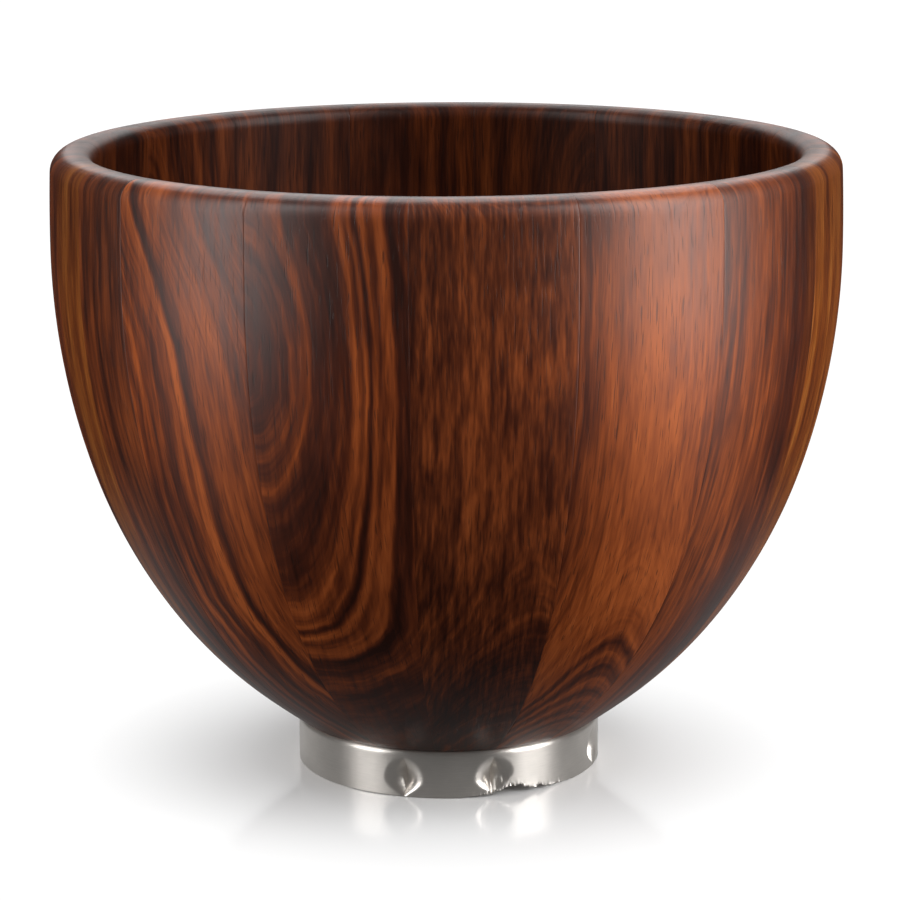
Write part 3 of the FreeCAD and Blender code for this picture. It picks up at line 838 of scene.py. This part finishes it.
def make_camera():
    camera = bpy.data.cameras.new("camera")
    camera.lens = CAMERA_LENS
    camera.sensor_width = CAMERA_SENSOR
    camera.shift_x = CAMERA_SHIFT
    camera.clip_end = 50.0
    holder = bpy.data.objects.new("camera", camera)
    pitch = Matrix.Rotation(math.pi / 2 - CAMERA_PITCH, 4, "X")
    roll = Matrix.Rotation(-CAMERA_ROLL, 4, "Z")
    holder.matrix_world = Matrix.Translation(CAMERA_PLACE) @ pitch @ roll
    bpy.context.scene.collection.objects.link(holder)
    bpy.context.scene.camera = holder


# Whole bowl ----------------------------------------------------------------------------------

# Depths at which the growth layers centre, against height
FLAT = ((0.0, 0.0), (0.25, 0.0))
ARCHED = ((0.0, -0.010), (0.025, 0.012), (0.040, 0.027), (0.060, 0.042), (0.078, 0.051),
          (0.1, 0.057), (0.13, 0.060), (0.25, 0.062))

BOARDS = {
    1: Board(
        seed=1, centre=12, depth=ARCHED,
        bands=((0, -0.1), (20, -0.06), (30, 0.02), (36, -0.1), (43, -0.06), (52, -0.11),
               (58, -0.08), (62, 0.0), (66, 0.04), (70, 0.06), (75, 0.05), (80, 0.03),
               (95, 0.0)),
        squeeze=1.6, light=1.3, tone=0.0, wander=6.0, line=0.9, fibre=1.8, cloud=0.8, curl=0.12),
    2: Board(
        seed=2, centre=5, depth=ARCHED,
        bands=((0, -0.1), (18, -0.05), (26, 0.0), (30, -0.14), (34, 0.1), (38, -0.14),
               (42, 0.12), (45.5, -0.12), (49, 0.14), (52, -0.1), (55, 0.16), (57, -0.12),
               (59, 0.16), (64, 0.12), (70, 0.15), (74, 0.12), (80, 0.04), (86, -0.06),
               (95, -0.1)),
        squeeze=2.2, light=1.6, tone=0.07, wander=2.5, line=0.8, fibre=1.2, cloud=0.7),
    3: Board(
        seed=3, centre=-95, depth=FLAT,
        bands=((60, 0.0), (76, 0.06), (86, 0.14), (96, 0.02), (102, -0.02), (107, -0.14),
               (112, -0.16), (130, 0.0)),
        light=1.4, tone=0.0, sap=(18.5, 1)),
    4: Board(
        seed=4, centre=-120, depth=FLAT,
        bands=((90, 0.0), (100, 0.1), (108, -0.1), (113, 0.1), (120, 0.0), (126, 0.1),
               (132, -0.1), (140, 0.05), (150, 0.0)),
        light=1.5, tone=0.06, sap=(-60, 1), line=1.5),
    14: Board(
        seed=14, centre=110, depth=FLAT,
        bands=((80, 0.0), (92, 0.02), (98, -0.1), (104, 0.06), (108, -0.1), (114, 0.14),
               (119, -0.08), (125, 0.16), (131, -0.06), (140, 0.04)),
        light=1.0, tone=0.04, sap=(-1.5, -1), line=1.4),
    15: Board(
        seed=15, centre=-60, depth=FLAT,
        bands=((30, -0.1), (36, 0.1), (38.5, -0.16), (42, 0.16), (44.5, -0.16), (48, 0.06),
               (50, -0.18), (53, 0.0), (55, 0.14), (57, 0.04), (58.5, 0.28), (60, 0.22),
               (61, 0.0), (62.5, -0.22), (65, -0.06), (68, 0.1), (76, 0.12), (82, 0.04),
               (95, 0.0)),
        lean=((0.0, 0.034), (0.035, 0.021), (0.052, 0.013), (0.075, 0.0044), (0.11, 0.0014),
              (0.14, 0.0), (0.16, -0.003), (0.18, -0.011), (0.195, -0.0186), (0.25, -0.04)),
        light=1.75, tone=0.03, wander=2.0, fibre=0.9),
    16: Board(
        seed=16, centre=-26,
        depth=((0.0, 0.078), (0.022, 0.067), (0.042, 0.0565), (0.052, 0.05), (0.062, 0.0425),
               (0.072, 0.036), (0.086, 0.03), (0.1, 0.026), (0.113, 0.022), (0.13, 0.015),
               (0.148, 0.007), (0.163, 0.006), (0.18, 0.011), (0.2, 0.018), (0.25, 0.03)),
        bands=((0, -0.1), (10, -0.1), (14, -0.08), (16, -0.06), (17.5, 0.12), (19, -0.04),
               (21, -0.06), (22.5, 0.14), (24.5, -0.08), (26, -0.16), (33.5, -0.14), (35, 0.0),
               (37, 0.16), (38.5, 0.0), (39.7, 0.2), (41.2, -0.16), (42.6, 0.2), (44.5, 0.0),
               (46, 0.2), (48, 0.12), (49.7, -0.24), (53, -0.12), (55, 0.04), (60, -0.05)),
        lean=((0.0, 0.013), (0.045, 0.011), (0.062, 0.009), (0.085, 0.004), (0.113, 0.002),
              (0.15, 0.0), (0.25, 0.0)),
        light=1.85, tone=-0.02, wander=1.8, depths=0.2, fibre=0.75),
}
SPARE_BANDS = ((0, -0.05), (12, 0.06), (19, -0.12), (27, 0.10), (33, -0.10), (38, 0.12),
               (44, -0.14), (50, 0.10), (55, -0.10), (61, 0.10), (68, -0.12), (76, 0.10),
               (84, -0.10), (92, 0.12), (99, -0.10), (107, 0.08), (114, -0.12), (122, 0.10),
               (130, 0.0))
SPARE_FIGURES = ((ARCHED, 8, 2.0), (FLAT, 105, 1.0), (BOARDS[16].depth, 20, 1.0))
for spare in range(5, 14):     # the staves that the front view hides, but for a sliver of 13
    figure, centre, squeeze = SPARE_FIGURES[spare % 3]
    BOARDS[spare] = Board(spare, centre if spare % 2 else -centre, figure, SPARE_BANDS,
                          squeeze=squeeze, light=1.25 + 0.12 * (spare % 4),
                          tone=0.02 * (spare % 3), cloud=0.8)
DISC_BOARD = Board(21, 60, FLAT, SPARE_BANDS, depths=0.0, tone=0.02)
DISC_TURN = 0.4                # of its grain against the bowl's axes


def make_bowl():
    for number in range(1, STAVE_COUNT + 1):
        node = f"stave_{number:02d}"
        piece = make_stave(number)
        middle = FIRST_SEAM + STAVE_ANGLE * (number - 0.5)
        piece.data.materials.append(wood(f"{node}_wood", middle, BOARDS[number]))
        stand_in(piece, node)
    disc = make_floor_disc()
    disc.data.materials.append(wood("floor_disc_wood", DISC_TURN, DISC_BOARD))
    stand_in(disc, "floor_disc")
    ring = make_foot_ring()
    ring.data.materials.append(brushed_steel("foot_steel"))
    stand_in(ring, "foot_ring")
    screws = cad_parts["foot_screws"]
    steel = brushed_steel("screw_steel")
    for slot in screws.material_slots:
        slot.material = steel


make_bowl()
make_studio()
make_camera()
